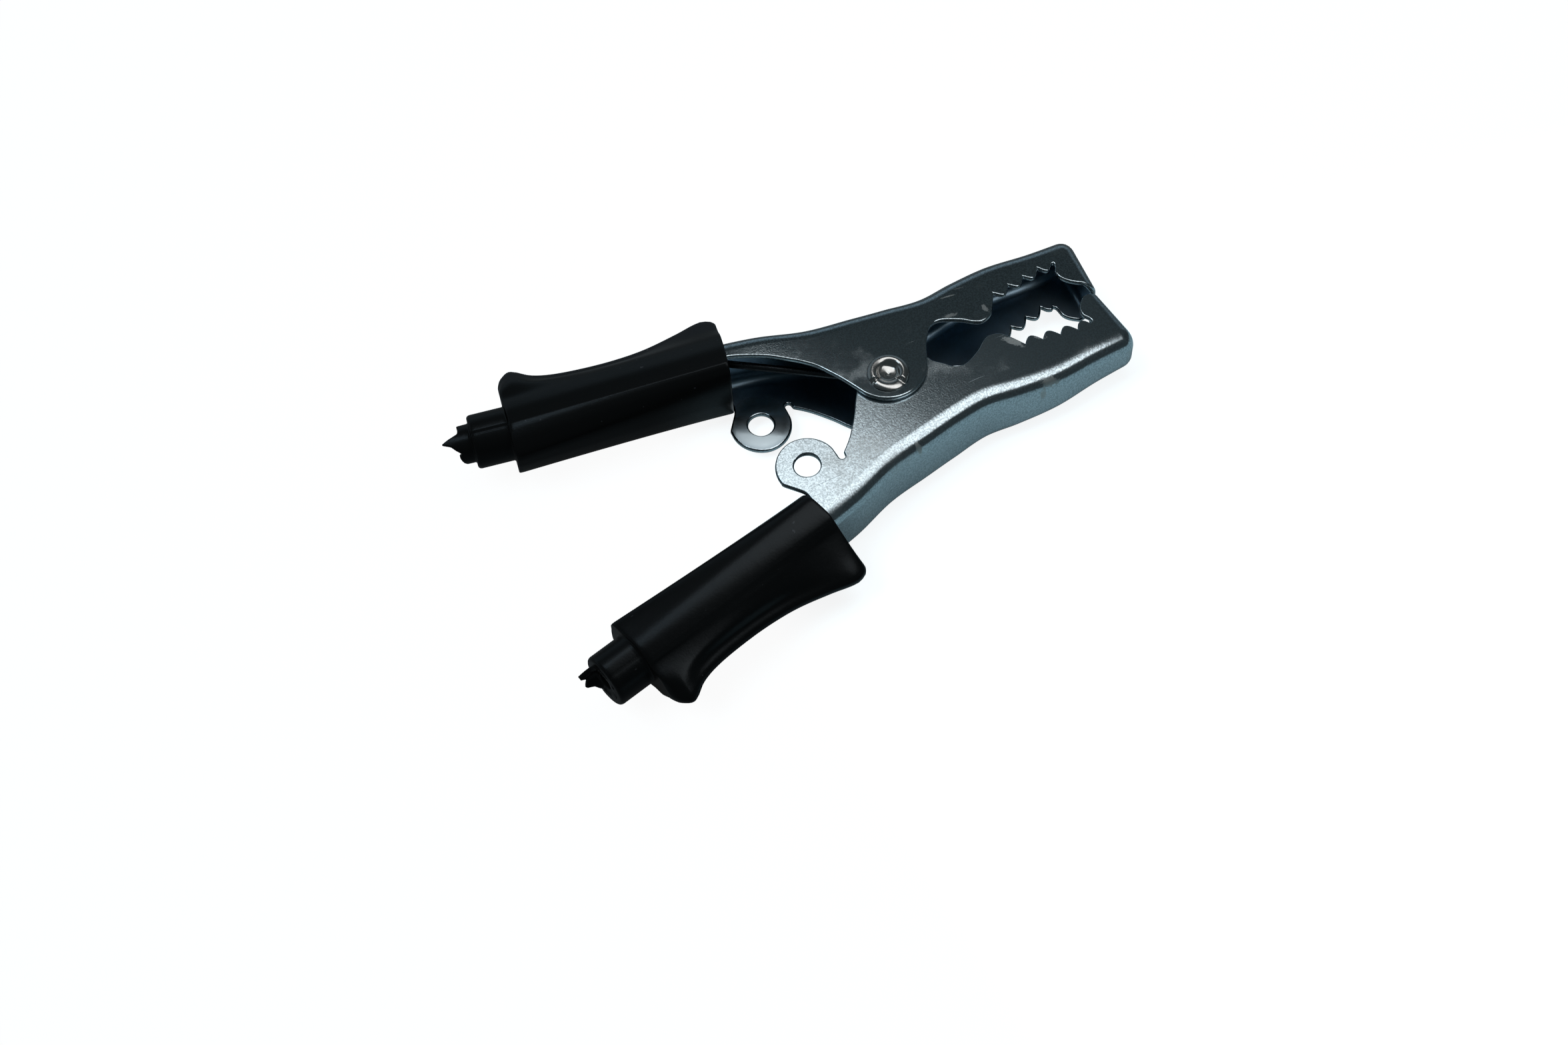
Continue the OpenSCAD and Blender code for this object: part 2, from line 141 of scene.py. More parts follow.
def buildStudio():
    s = studio
    low = cadBox[0][2]
    # overhead box: its slanting edge parts what the lugs mirror from what the plates mirror
    turn = math.radians(s["softboxAngle"])
    side, out = Vector((math.cos(turn), math.sin(turn))), Vector((-math.sin(turn), math.cos(turn)))
    wide, deep = s["softboxSize"]
    centre = Vector(s["softboxCorner"]) + side * wide / 2 - out * deep / 2
    spot = (centre[0] - reach * mm, centre[1], s["softboxHeight"])
    box = addLamp("softbox", "AREA", spot, (spot[0], spot[1], 0), (wide, deep), s["softboxGlow"])
    box.rotation_euler = (0, 0, turn)
    spot = (s["stripPlace"][0] - reach * mm, s["stripPlace"][1], s["softboxHeight"])
    addLamp("strip", "AREA", spot, (spot[0], spot[1], 0), s["stripSize"], s["stripGlow"],
            colour=s["stripColour"])
    fill = addLamp("fill", "SUN", s["sunPlace"], (0, 0, 0), s["sunSpread"], s["sunStrength"])
    fill.visible_glossy = False  # soft daylight, not mirrored
    world = bpy.data.worlds.new("room")
    world.use_nodes = True
    nt = world.node_tree
    # a dim room with a paler wall low down behind the clamp
    way = splitPlace(nt, nt.nodes.new("ShaderNodeTexCoord").outputs["Generated"])
    behind = between(nt, way["Y"], 0.15, 0.7)
    lowDown = mathNode(nt, "SUBTRACT", 1.0, between(nt, way["Z"], 0.25, 0.6))
    wall = times(nt, behind, lowDown)
    link(nt, mixColour(nt, wall, s["worldGlow"], s["wallGlow"]), nt.nodes["Background"].inputs["Color"])
    bpy.context.scene.world = world

    mesh = bpy.data.meshes.new("floor")
    r = s["floorReach"]
    mesh.from_pydata([(-r, -r, 0), (r, -r, 0), (r, r, 0), (-r, r, 0)], [], [(0, 1, 2, 3)])
    floor = bpy.data.objects.new("floor", mesh)
    bpy.context.scene.collection.objects.link(floor)
    floor.location = (0, 0, low)
    mesh.materials.append(floorPaper())


def floorPaper():
    mat, nt, shader = newMaterial("floorPaper")
    shader.inputs["Roughness"].default_value = 0.9
    shader.inputs["Specular IOR Level"].default_value = 0.0
    shader.inputs["Emission Color"].default_value = (1, 1, 1, 1)
    # painted shade: the floor is pale in front and darker behind the clamp and under its grips, which
    # the metal and grips mirror; the camera ray lift keeps it white
    place = splitPlace(nt, objectPlace(nt))
    behind = plus(nt, place["Y"], times(nt, place["X"], studio["backSlope"]))
    underGrips = mathNode(nt, "SUBTRACT", 1.0, between(nt, place["X"], -0.15, -0.118))
    behind = mathNode(nt, "MAXIMUM", between(nt, behind, 0.005, 0.04), underGrips)
    colour = mixColour(nt, behind, studio["floorColour"], studio["floorShade"])
    link(nt, colour, shader.inputs["Base Color"])
    path = nt.nodes.new("ShaderNodeLightPath").outputs
    lift = times(nt, behind, studio["liftBehind"])
    lift = plus(nt, lift, studio["floorLift"])
    seen = times(nt, path["Is Camera Ray"], lift)
    mirrored = mathNode(nt, "MAXIMUM", path["Is Glossy Ray"], path["Is Transmission Ray"])
    mirrored = times(nt, mirrored, studio["mirrorLift"])
    link(nt, plus(nt, seen, mirrored), shader.inputs["Emission Strength"])
    return mat


sheet = {
    "thick": 2.0,
    "bend": 6.0,
    "plateGap": 0.15,
    "rim": 0.55,        # rounding of the sheared edges, across the edge
    "rimDepth": 0.75,   # and into the sheet
    "rimSteps": 3,      # facets of that rounding
    "edgeStep": 0.62,   # spacing of the points along an edge
}
jaw = {
    "channel": 26.3, "noseWidth": 17.5, "length": 80.0, "hub": 27.2, "waist": 23.4,
    "back": 25.4, "nose": 23.2, "noseRound": 4.4, "lean": 6.0, "leanHeight": 15.0,
    "seam": 0.2, "taperFrom": 12.0, "handleX": 40.0, "handleY": 31.0, "handleAngle": 12.2,
    "tangBack": 7.2, "tangDepth": 0.6, "tangLength": 46.0, "tangEnd": 19.0,
}
mouth = {
    "step": 4.2, "throat": 10.8, "hump": 4.3, "teeth": 3, "pitch": 6.1, "tall": 2.6,
    "root": 12.6, "rise": 8.0, "from": 46.2, "notch": 69.6,
}
lobe = {"at": (1.4, 3.5), "r": 13.1, "bore": 3.95}
lug = {"at": (-38.3, 16.7), "r": 10.2, "hole": 4.2, "notch": 1.1}
sideStep = (sheet["thick"] + sheet["plateGap"]) / 2
handleTurn = math.radians(jaw["handleAngle"])
tangX = jaw["handleX"] + jaw["tangLength"] * math.cos(handleTurn)
farX = jaw["length"] - jaw["noseRound"]
capU = farX + jaw["noseRound"] * math.pi / 2
capLength = 4.2
endU = capU + capLength
bendFrom, bendTo = 10.0, 16.0  # the section's own coordinate over the bend


# Height at x of a smooth line through the points
def along(points, x):
    i = 0
    while i < len(points) - 2 and x >= points[i + 1][0]:
        i += 1

    def slope(k):
        a, b = max(k - 1, 0), min(k + 1, len(points) - 1)
        return (points[b][1] - points[a][1]) / (points[b][0] - points[a][0])

    h = points[i + 1][0] - points[i][0]
    u = (x - points[i][0]) / h
    a, b, ma, mb = points[i][1], points[i + 1][1], slope(i) * h, slope(i + 1) * h
    return a + u * (ma + u * (3 * (b - a) - 2 * ma - mb + u * (2 * (a - b) + ma + mb)))


def axisY(x):
    return jaw["handleY"] + (-jaw["handleX"] - x) * math.tan(handleTurn)


def tangBackY(x):
    return axisY(x) + jaw["tangBack"] / math.cos(handleTurn)


backLine = [
    (-tangX - 10, tangBackY(-tangX - 10)), (-60, tangBackY(-60)), (-45, tangBackY(-45)),
    (-30, (tangBackY(-45) + 2 * jaw["hub"]) / 3 + 4.3), (-15, jaw["hub"] + 2.9), (0, jaw["hub"]),
    (12, (jaw["hub"] + jaw["waist"]) / 2 - 0.3), (24, jaw["waist"]),
    (36, (jaw["waist"] + jaw["back"]) / 2 + 0.3), (50, jaw["back"]),
    (65, (jaw["back"] + jaw["nose"]) / 2 - 0.35), (jaw["length"], jaw["nose"]),
]


def halfWidth(x):
    half, t = jaw["channel"] / 2, jaw["taperFrom"]
    if x > t:
        return half - (jaw["channel"] - jaw["noseWidth"]) / 2 * (x - t) / (jaw["length"] - 2 - t)
    if x < -jaw["handleX"]:
        share = (-jaw["handleX"] - x) / (tangX - jaw["handleX"])
        return half - (jaw["channel"] - jaw["tangEnd"]) / 2 * share
    return half


def leanAt(x):
    return math.tan(math.radians(jaw["lean"])) * min(1, max(0, x - 66) / 14)


# Point of the sheet: u runs to the nose, v round the section, d is the depth in the sheet
def sheetPoint(u, v, d):
    r = jaw["noseRound"]
    turn = min(max((u - farX) / r, 0), math.pi / 2)
    k = max(0, (u - capU) / capLength)
    xs = farX + r * math.sin(turn) if u > farX else u
    x = farX + (r - d) * math.sin(turn) if u > farX else u
    pinch = (r - d) * (1 - math.cos(turn))
    back = along(backLine, xs)
    top, w, b = back - d - pinch, halfWidth(xs) - d - pinch, sheet["bend"] - d - pinch
    q = abs(v)
    if q <= bendFrom:
        y, z = top, (w - b) * q / bendFrom
    elif q <= bendTo:
        a = (q - bendFrom) / (bendTo - bendFrom) * math.pi / 2
        y, z = top - b + b * math.cos(a), w - b + b * math.sin(a)
    else:
        outerCentre = back - r * (1 - math.cos(turn)) - sheet["bend"]
        ownCentre = top - b
        fixed = jaw["seam"] / 2
        y = outerCentre - (q - bendTo)
        y = fixed + (y - fixed) * (ownCentre - fixed) / (outerCentre - fixed)
        z = w
    z *= (1 - k) * (1 if v >= 0 else -1)
    return Vector((x - leanAt(xs) * (jaw["leanHeight"] - y), y, z))


# Where a plate's point (x, y) lies in the sheet's own coordinates
def sheetCoords(x, y, side):
    xs = x
    for _ in range(8):
        xs = x + leanAt(xs) * (jaw["leanHeight"] - y)
    r = jaw["noseRound"]
    over = min(max((xs - farX) / r, 0), 1)
    turn = math.asin(over)
    u = farX + r * turn if over > 0 else xs
    centre = along(backLine, xs) - r * (1 - math.cos(turn)) - sheet["bend"]
    return (u, side * (bendTo + centre - y))


def arcPoints(c, r, start, stop, n):
    return [(c[0] + r * math.cos(math.radians(start + (stop - start) * i / n)),
             c[1] + r * math.sin(math.radians(start + (stop - start) * i / n))) for i in range(n + 1)]


# Point at share t between p1 and p2 of a smooth curve through p0, p1, p2 and p3
def curvePoint(p0, p1, p2, p3, t):
    return 0.5 * (2 * p1 + (p2 - p0) * t + (2 * p0 - 5 * p1 + 4 * p2 - p3) * t * t
                  + (3 * p1 - p0 - 3 * p2 + p3) * t ** 3)


# Curve through the points, with every point kept
def smoothRun(points, steps=5):
    out = []
    for i in range(len(points) - 1):
        p = [Vector(points[max(0, min(len(points) - 1, i + k))]) for k in (-1, 0, 1, 2)]
        out += [tuple(curvePoint(*p, s / steps)) for s in range(steps)]
    return out + [tuple(points[-1])]


# The same line with points about one gap apart, every corner kept
def spaced(points, gap):
    out = [points[0]]
    for a, b in zip(points, points[1:]):
        n = max(1, round(math.dist(a, b) / gap))
        out += [(a[0] + (b[0] - a[0]) * i / n, a[1] + (b[1] - a[1]) * i / n) for i in range(1, n + 1)]
    return out


def thinned(points, gap):
    out = [points[0]]
    for p in points[1:]:
        if math.dist(p, out[-1]) >= gap:
            out.append(p)
    return out


def toothY(x, drop):
    return mouth["root"] - drop + (x - mouth["from"]) * math.tan(math.radians(mouth["rise"]))


# Edge of the mouth from the throat over the teeth to the nose, lower by drop
def mouthRun(drop, slit):
    m = mouth
    throat = [
        (18.6, m["throat"] - 3.3), (20.9, m["throat"] - 0.9), (24.6, m["throat"]),
        (31, (m["throat"] + m["hump"]) / 2 + 0.4), (34.7, m["hump"] + 0.9), (37.4, m["hump"]),
        (41, m["hump"] + 1.1), (43, m["hump"] + 3.3), (m["from"], m["root"]),
    ]
    run = [(x, along([(p[0], p[1] - drop) for p in throat], x))
           for x in [18.6 + 0.6 * i for i in range(46)]]
    for k in range(m["teeth"]):
        for i in range(12):
            x = m["from"] + (k + i / 12) * m["pitch"]
            run.append((x, toothY(x, drop) - m["tall"] * math.sin(math.pi * i / 12)))
    last, n = m["from"] + m["teeth"] * m["pitch"], m["notch"]
    end, top = toothY(last, drop), toothY(n, drop)
    valley = [(last, end), (last + 1.2, end - 0.7 * m["tall"]), (last + 2.6, end - m["tall"]),
              (last + 3.6, end - 0.8 * m["tall"])]
    if slit:
        closing = [(n - 0.9, top - 2.2), (n - 0.1, top - 1.2), (n + 0.7, top - 1.5),
                   (n + 0.3, top - 3.0), (n - 0.7, 11.2 - drop)]
    else:
        closing = [(n - 1.6, top - m["tall"]), (n - 0.9, 12.2 - drop)]
    nose = [(n - 0.5, 8.8 - drop), (n + 0.9, 6.5 - drop), (n + 3.4, 4.3 - drop),
            (n + 5.7, 2.9 - drop), (n + 7.3, 1.1 - drop), (n + 8, 0)]
    run += smoothRun(valley + closing + nose, 4)
    low = jaw["seam"] / 2
    return [(p[0], max(low, p[1])) for p in run if p[1] > low - 1.5] + [(n + 8.8, low)]


# Lower edge of a plate, from the end of the tang to the seam of the nose
def plateEdge(inner, slit=True):
    depth = jaw["tangDepth"]
    edge = [(-tangX, axisY(-tangX) - depth)]
    if inner:
        edge += [(-60, axisY(-60) - depth), (-46, axisY(-46) - depth)]
        edge += smoothRun([(-43, axisY(-43) - depth), (-43.1, 28), (-43.7, 25.3), (-45.4, 22.9)]
                          + arcPoints(lug["at"], lug["r"], 165, 172, 1), 4)
        edge += arcPoints(lug["at"], lug["r"], 173, 350, 60)
        n = lug["notch"]
        at = (lug["at"][0] + lug["r"] + n, lug["at"][1] + 2.2)
        edge += [(at[0] - n, at[1] - 1.2)] + arcPoints(at, n, 180, 30, 12)
        edge += smoothRun([(-25.8, 17.8), (-21.5, 13.7), (-16.7, 7.6), (-13.7, 3)]
                          + arcPoints(lobe["at"], lobe["r"], 200, 206, 1), 5)
    else:
        edge += [(-60, axisY(-60) - depth), (-46, axisY(-46) - depth)]
        edge += smoothRun([(-42.4, axisY(-42.4) - depth), (-36.5, 28.2), (-30.7, 24.8), (-25.5, 20.6),
                           (-22.3, 17.8), (-18.8, 14), (-16.3, 10), (-13.7, 5.2)]
                          + arcPoints(lobe["at"], lobe["r"], 200, 206, 1), 5)
    edge += arcPoints(lobe["at"], lobe["r"], 207, 334, 60)
    lead = [(15.2, -1.0), (16.0, 0.8)] if inner else [(14.6, 0.5), (16.4, 4.2)]
    drop = mouth["step"] if inner else 0
    run = mouthRun(drop, slit)
    edge += smoothRun(arcPoints(lobe["at"], lobe["r"], 336, 340, 1) + lead + run[:2], 4)
    edge += run[2:]
    return edge


# Moves a closed loop to its left by gap, but not the points in fixed
def insetLoop(loop, gap, fixed):
    n = len(loop)
    out = []
    for i, p in enumerate(loop):
        if i in fixed:
            out.append(tuple(p))
            continue
        a, b = Vector(loop[i - 1]), Vector(loop[(i + 1) % n])
        e1, e2 = (Vector(p) - a).normalized(), (b - Vector(p)).normalized()
        n1, n2 = Vector((-e1.y, e1.x)), Vector((-e2.y, e2.x))
        m = n1 + n2
        if m.length < 1e-6:
            m = n1
        m.normalize()
        out.append(tuple(Vector(p) + m * gap / max(0.55, m.dot(n1))))
    return out


def inside(p, loop):
    hit = False
    for (x1, y1), (x2, y2) in zip(loop, loop[1:] + loop[:1]):
        if (y1 > p[1]) != (y2 > p[1]) and p[0] < x1 + (p[1] - y1) * (x2 - x1) / (y2 - y1):
            hit = not hit
    return hit


# The pressed sheet as one closed mesh: points, faces, normals, and which faces are sheared
def buildSheet(slit):
    sideA = [sheetCoords(p[0], p[1], 1) for p in plateEdge(False)]
    sideB = [sheetCoords(p[0], p[1], -1) for p in plateEdge(True, slit)]
    seamV = bendTo + along(backLine, jaw["length"]) - jaw["noseRound"] - sheet["bend"] - jaw["seam"] / 2
    # the loop runs along side A to the nose, over the middle of the front, and back along side B
    lineA = thinned(spaced(sideA, sheet["edgeStep"]), 0.3)
    lineB = thinned(spaced(sideB, sheet["edgeStep"]), 0.3)
    capRow = [capU + capLength * i / 5 for i in range(6)]
    lineA = [p for p in lineA if p[0] < capU - 0.25] + [(u, seamV) for u in capRow]
    lineB = [p for p in lineB if p[0] < capU - 0.25] + [(u, -seamV) for u in capRow]
    middle = [seamV - 2 * seamV * i / 60 for i in range(1, 60)]
    tang = spaced([lineB[0], lineA[0]], 1.5)[1:-1]
    outline = lineA + [(endU, v) for v in middle] + lineB[::-1] + tang
    fixed = set(range(len(lineA) - 1, len(lineA) + len(middle) + 1))
    area = sum(a[0] * b[1] - b[0] * a[1] for a, b in zip(outline, outline[1:] + outline[:1]))
    if area < 0:
        outline = outline[::-1]
        fixed = {len(outline) - 1 - i for i in fixed}
    holes = []
    for side, at, r, n in ((-1, lug["at"], lug["hole"], 64), (1, (0, 0), lobe["bore"], 40),
                           (-1, (0, 0), lobe["bore"], 40)):
        ring = [sheetCoords(p[0], p[1], side) for p in arcPoints(at, r, 0, 360 - 360 / n, n - 1)]
        a = sum(p[0] * q[1] - q[0] * p[1] for p, q in zip(ring, ring[1:] + ring[:1]))
        holes.append(ring[::-1] if a > 0 else ring)  # clockwise, so that its left is sheet
    rim = sheet["rim"]
    loops = [outline] + holes
    fixedOf = [fixed, set(), set(), set()]
    insets = []
    for loop, still in zip(loops, fixedOf):
        moved = insetLoop(loop, rim, still)
        ends = sorted(still)
        for k in (ends[:1] + ends[-1:]):  # the two corners slide along the middle of the front only
            v = loop[k][1]
            moved[k] = (loop[k][0], v - math.copysign(rim, v))
        insets.append(moved)

    grid = []
    stations = [-tangX + 1.2 + 2.0 * i for i in range(23)] + [-40 + 1.6 * i for i in range(66)]
    stations += [66 + 1.0 * i for i in range(10)] + [farX + (capU - farX) * i / 7 for i in range(8)]
    stations += capRow[1:-1]
    stations = thinned([(u, 0) for u in sorted(stations)], 0.5)
    rows = [0, 3.3, 6.7] + [bendFrom + 0.75 * i for i in range(9)]
    rows += [bendTo + 1.2 + 1.8 * i for i in range(26)]
    for u, _ in stations:
        for q in rows:
            for s in ((1, -1) if q else (1,)):
                grid.append((u, q * s))
    edges, coords = [], []
    for loop in insets:
        base = len(coords)
        coords += [Vector(p) for p in loop]
        edges += [(base + i, base + (i + 1) % len(loop)) for i in range(len(loop))]
    cells = {}
    for p in coords:
        cells.setdefault((int(p.x // 1), int(p.y // 1)), []).append(p)

    def nearRim(p):
        cx, cy = int(p[0] // 1), int(p[1] // 1)
        return any((q - Vector(p)).length < 0.55 for i in (-1, 0, 1) for j in (-1, 0, 1)
                   for q in cells.get((cx + i, cy + j), ()))

    for p in grid:
        if not nearRim(p) and inside(p, insets[0]) and not any(inside(p, h) for h in insets[1:]):
            coords.append(Vector(p))
    verts, _, tris, origin, _, _ = delaunay_2d_cdt(coords, edges, [], 1, 1e-5)
    keep = []
    for t in tris:
        c = sum((verts[i] for i in t), Vector((0, 0))) / len(t)
        if inside(c, insets[0]) and not any(inside(c, h) for h in insets[1:]):
            keep.append(t)
    number = {}
    for new, olds in enumerate(origin):
        for o in olds:
            number[o] = new

    def normalAt(p):
        return (sheetPoint(p[0], p[1], 0) - sheetPoint(p[0], p[1], 0.5)).normalized()

    out, faces, normals, sheared = [], [], [], []
    for depth, way in ((0, 1), (sheet["thick"], -1)):
        base = len(out)
        for p in verts:
            u = min(p.x, endU)
            out.append(sheetPoint(u, p.y, depth))
            normals.append(way * normalAt((u, p.y)))
        for t in keep:
            f = [base + i for i in t]
            faces.append(f[::-1] if way > 0 else f)
            sheared.append(0 if way > 0 else 2)
    innerBase = len(verts)
    steps = sheet["rimSteps"]
    start = 0
    for loop, inset, still in zip(loops, insets, fixedOf):
        n = len(loop)
        ladder = []
        for i in range(n):
            top = number[start + i]
            p, q = Vector(loop[i]), Vector(inset[i])
            outward = p - q
            rungs = [top]
            face = normalAt(q)
            edgeWay = (sheetPoint(p.x, p.y, 1) - sheetPoint(q.x, q.y, 1))
            edgeWay = edgeWay.normalized() if edgeWay.length > 1e-6 else face
            for side, (base, sign) in enumerate(((0, 1), (sheet["thick"], -1))):
                arcs = range(1, steps + 1) if side == 0 else range(steps, 0, -1)
                for k in arcs:
                    a = k / steps * math.pi / 2
                    at = q + outward * math.sin(a)
                    depth = base + sign * sheet["rimDepth"] * (1 - math.cos(a))
                    rungs.append(len(out))
                    out.append(sheetPoint(min(at.x, endU), at.y, depth))
                    normals.append((edgeWay * math.sin(a) + face * sign * math.cos(a)).normalized())
            rungs.append(innerBase + top)
            ladder.append(rungs)
        for i in range(n):
            j = (i + 1) % n
            if i in still and j in still:
                continue
            for k in range(len(ladder[i]) - 1):
                faces.append([ladder[i][k], ladder[j][k], ladder[j][k + 1], ladder[i][k + 1]])
                sheared.append(1 if k == steps else 0)
        start += n
    return joined(out, faces, normals, sheared)


# Joins the points of the nose's middle line, where side A and side B of the sheet meet
def joined(points, faces, normals, sheared):
    first, number, at = {}, [], []
    for i, p in enumerate(points):
        key = (round(p.x, 4), round(p.y, 4)) if abs(p.z) < 1e-6 and p.x > farX else i
        if key not in first:
            first[key] = len(at)
            at.append(i)
        number.append(first[key])
    faceList, marks = [], []
    for f, mark in zip(faces, sheared):
        g = []
        for i in f:
            if number[i] not in g:
                g.append(number[i])
        if len(g) > 2:
            faceList.append(g)
            marks.append(mark)
    return [points[i] for i in at], faceList, [normals[i] for i in at], marks


# Faces between ring i and ring j of a tube with n points to a ring
def bandFaces(i, j, n):
    return [[i * n + k, i * n + (k + 1) % n, j * n + (k + 1) % n, j * n + k] for k in range(n)]


def addMesh(name, points, faces, materials, which=None, normals=None):
    mesh = bpy.data.meshes.new(name)
    mesh.from_pydata([rowPoint(p) for p in points], [], faces)
    for m in materials:
        mesh.materials.append(m)
    if which:
        mesh.polygons.foreach_set("material_index", which)
    mesh.validate()
    mesh.polygons.foreach_set("use_smooth", [True] * len(mesh.polygons))
    obj = bpy.data.objects.new(name, mesh)
    bpy.context.scene.collection.objects.link(obj)
    if normals:
        mesh.normals_split_custom_set_from_vertices([tuple(n) for n in normals])
    return obj


def turned(points, place):
    return [place(p) for p in points]


def turnedNormals(normals, lower):
    return [(n[0], -n[1], -n[2]) if lower else (n[0], n[1], n[2]) for n in normals]


steel = {
    # inside is the painted shade colour for the plating deep in the channels
    "base": (0.48, 0.56, 0.60), "dull": (0.40, 0.42, 0.41), "inside": (0.24, 0.33, 0.40),
    "pitShade": 0.3,    # how dark a pit is, beside the plating
    "stain": 0.22, "wornRough": 0.42, "scratchRough": 0.2, "grainRough": 0.25,
    "peelScale": 1700.0, "peelHeight": 0.014, "waveScale": 160.0,
}
black = {
    # the paler second colour is painted light on the upper grip, smudged like a bloom
    "base": (0.0024, 0.0026, 0.0027), "bloomAndLight": (0.0100, 0.0118, 0.0150), "speck": (0.02, 0.022, 0.025),
    "sheen": (0.82, 0.93, 1.0), "roughness": 0.30, "specular": 0.2,
    "paintedLightFrom": 13.906,  # the painted light starts at this height across the upper grip
}
# handling marks on the plates: place, long and short radius, turn and strength
scuffs = [
    ((40.6, 8.5, 12.3), 2.2, 1.2, 100, 0.6), ((29.0, 10.9, 13.1), 3.0, 1.1, -8, 0.5),
    ((31.8, 18.0, 12.9), 4.4, 0.4, -8, 0.6), ((36.6, 19.4, 12.7), 2.6, 0.35, -10, 0.5),
    ((15.8, 22.9, 14.0), 3.4, 0.9, 0, 0.4), ((43.0, -6.1, 10.0), 4.8, 1.8, -50, 0.6),
    ((51.7, -8.3, 9.4), 2.6, 1.2, -30, 0.5), ((43.4, -25.0, 4.0), 1.9, 1.2, 50, 0.8),
    ((47.0, -24.4, 8.5), 4.6, 1.6, -12, 0.8), ((-3.6, -27.0, 9.5), 1.3, 2.6, 8, 0.8),
]


def newMaterial(name, metal=0.0):
    mat = bpy.data.materials.new(name)
    mat.use_nodes = True
    shader = mat.node_tree.nodes["Principled BSDF"]
    shader.inputs["Metallic"].default_value = metal
    return mat, mat.node_tree, shader


def objectPlace(nt):
    return nt.nodes.new("ShaderNodeTexCoord").outputs["Object"]


def splitPlace(nt, vector):
    node = nt.nodes.new("ShaderNodeSeparateXYZ")
    link(nt, vector, node.inputs[0])
    return node.outputs


def addBump(nt, shader, height, distance, strength):
    bump = nt.nodes.new("ShaderNodeBump")
    bump.inputs["Distance"].default_value = distance * mm
    bump.inputs["Strength"].default_value = strength
    link(nt, height, bump.inputs["Height"])
    link(nt, bump.outputs[0], shader.inputs["Normal"])


# Feeds a socket with another node's output or with a plain value
def link(nt, value, socket):
    if hasattr(value, "is_output"):
        nt.links.new(value, socket)
    else:
        socket.default_value = value


def mathNode(nt, kind, a, b=None, clamp=False):
    node = nt.nodes.new("ShaderNodeMath")
    node.operation = kind
    node.use_clamp = clamp
    for i, v in enumerate((a, b)):
        if v is not None:
            link(nt, v, node.inputs[i])
    return node.outputs[0]


def times(nt, a, b):
    return mathNode(nt, "MULTIPLY", a, b)


def plus(nt, a, b):
    return mathNode(nt, "ADD", a, b)


def noiseNode(nt, vector, scale, detail=2.0, rough=0.5, stretch=None):
    if stretch:
        size = nt.nodes.new("ShaderNodeMapping")
        size.inputs["Scale"].default_value = stretch[:3]
        size.inputs["Rotation"].default_value = (0, 0, math.radians(stretch[3]))
        link(nt, vector, size.inputs["Vector"])
        vector = size.outputs[0]
    node = nt.nodes.new("ShaderNodeTexNoise")
    link(nt, vector, node.inputs["Vector"])
    link(nt, scale, node.inputs["Scale"])
    node.inputs["Detail"].default_value = detail
    node.inputs["Roughness"].default_value = rough
    return node.outputs["Fac"]


# Runs from 0 to 1 as the value passes from low to high
def between(nt, value, low, high):
    node = nt.nodes.new("ShaderNodeMapRange")
    node.interpolation_type = "SMOOTHSTEP"
    node.inputs["From Min"].default_value = low
    node.inputs["From Max"].default_value = high
    link(nt, value, node.inputs["Value"])
    return node.outputs[0]


def newGroup(name, inputs, outputs):
    group = bpy.data.node_groups.new(name, "ShaderNodeTree")
    for label, kind, value in inputs:
        socket = group.interface.new_socket(name=label, in_out="INPUT", socket_type=kind)
        if value is not None:
            socket.default_value = value
    for label, kind in outputs:
        group.interface.new_socket(name=label, in_out="OUTPUT", socket_type=kind)
    return group, group.nodes.new("NodeGroupInput"), group.nodes.new("NodeGroupOutput")


# Fine orange peel of the zinc with a slow waviness of the rolled sheet
def platingPeel():
    group, given, out = newGroup(
        "platingPeel",
        [("Vector", "NodeSocketVector", None), ("Grain scale", "NodeSocketFloat", steel["peelScale"]),
         ("Wave scale", "NodeSocketFloat", steel["waveScale"])],
        [("Height", "NodeSocketFloat"), ("Grain", "NodeSocketFloat")])
    grain = noiseNode(group, given.outputs["Vector"], given.outputs["Grain scale"], 3, 0.65)
    wave = noiseNode(group, given.outputs["Vector"], given.outputs["Wave scale"], 1, 0.5)
    height = plus(group, grain, times(group, wave, 0.4))
    link(group, height, out.inputs["Height"])
    link(group, grain, out.inputs["Grain"])
    return group


# Stains, hairline scratches and fine drawing lines of a part that was handled in a box with others
def handlingWear():
    group, given, out = newGroup(
        "handlingWear",
        [("Vector", "NodeSocketVector", None), ("Stain scale", "NodeSocketFloat", 45.0)],
        [("Stain", "NodeSocketFloat"), ("Scratch", "NodeSocketFloat")])
    v = given.outputs["Vector"]
    stain = between(group, noiseNode(group, v, given.outputs["Stain scale"], 5, 0.62), 0.54, 0.68)
    lines = []
    for turn, gate in ((24, 0.72), (-38, 0.735), (80, 0.745)):
        run = noiseNode(group, v, 60.0, 2, 0.5, (0.5, 22.0, 1.0, turn))
        place = noiseNode(group, v, 70.0 + turn * 0.1, 1, 0.5)
        fine = between(group, run, gate, gate + 0.02)
        lines.append(times(group, fine, between(group, place, 0.5, 0.6)))
    scratch = mathNode(group, "MAXIMUM", mathNode(group, "MAXIMUM", lines[0], lines[1]), lines[2])
    link(group, stain, out.inputs["Stain"])
    link(group, scratch, out.inputs["Scratch"])
    return group


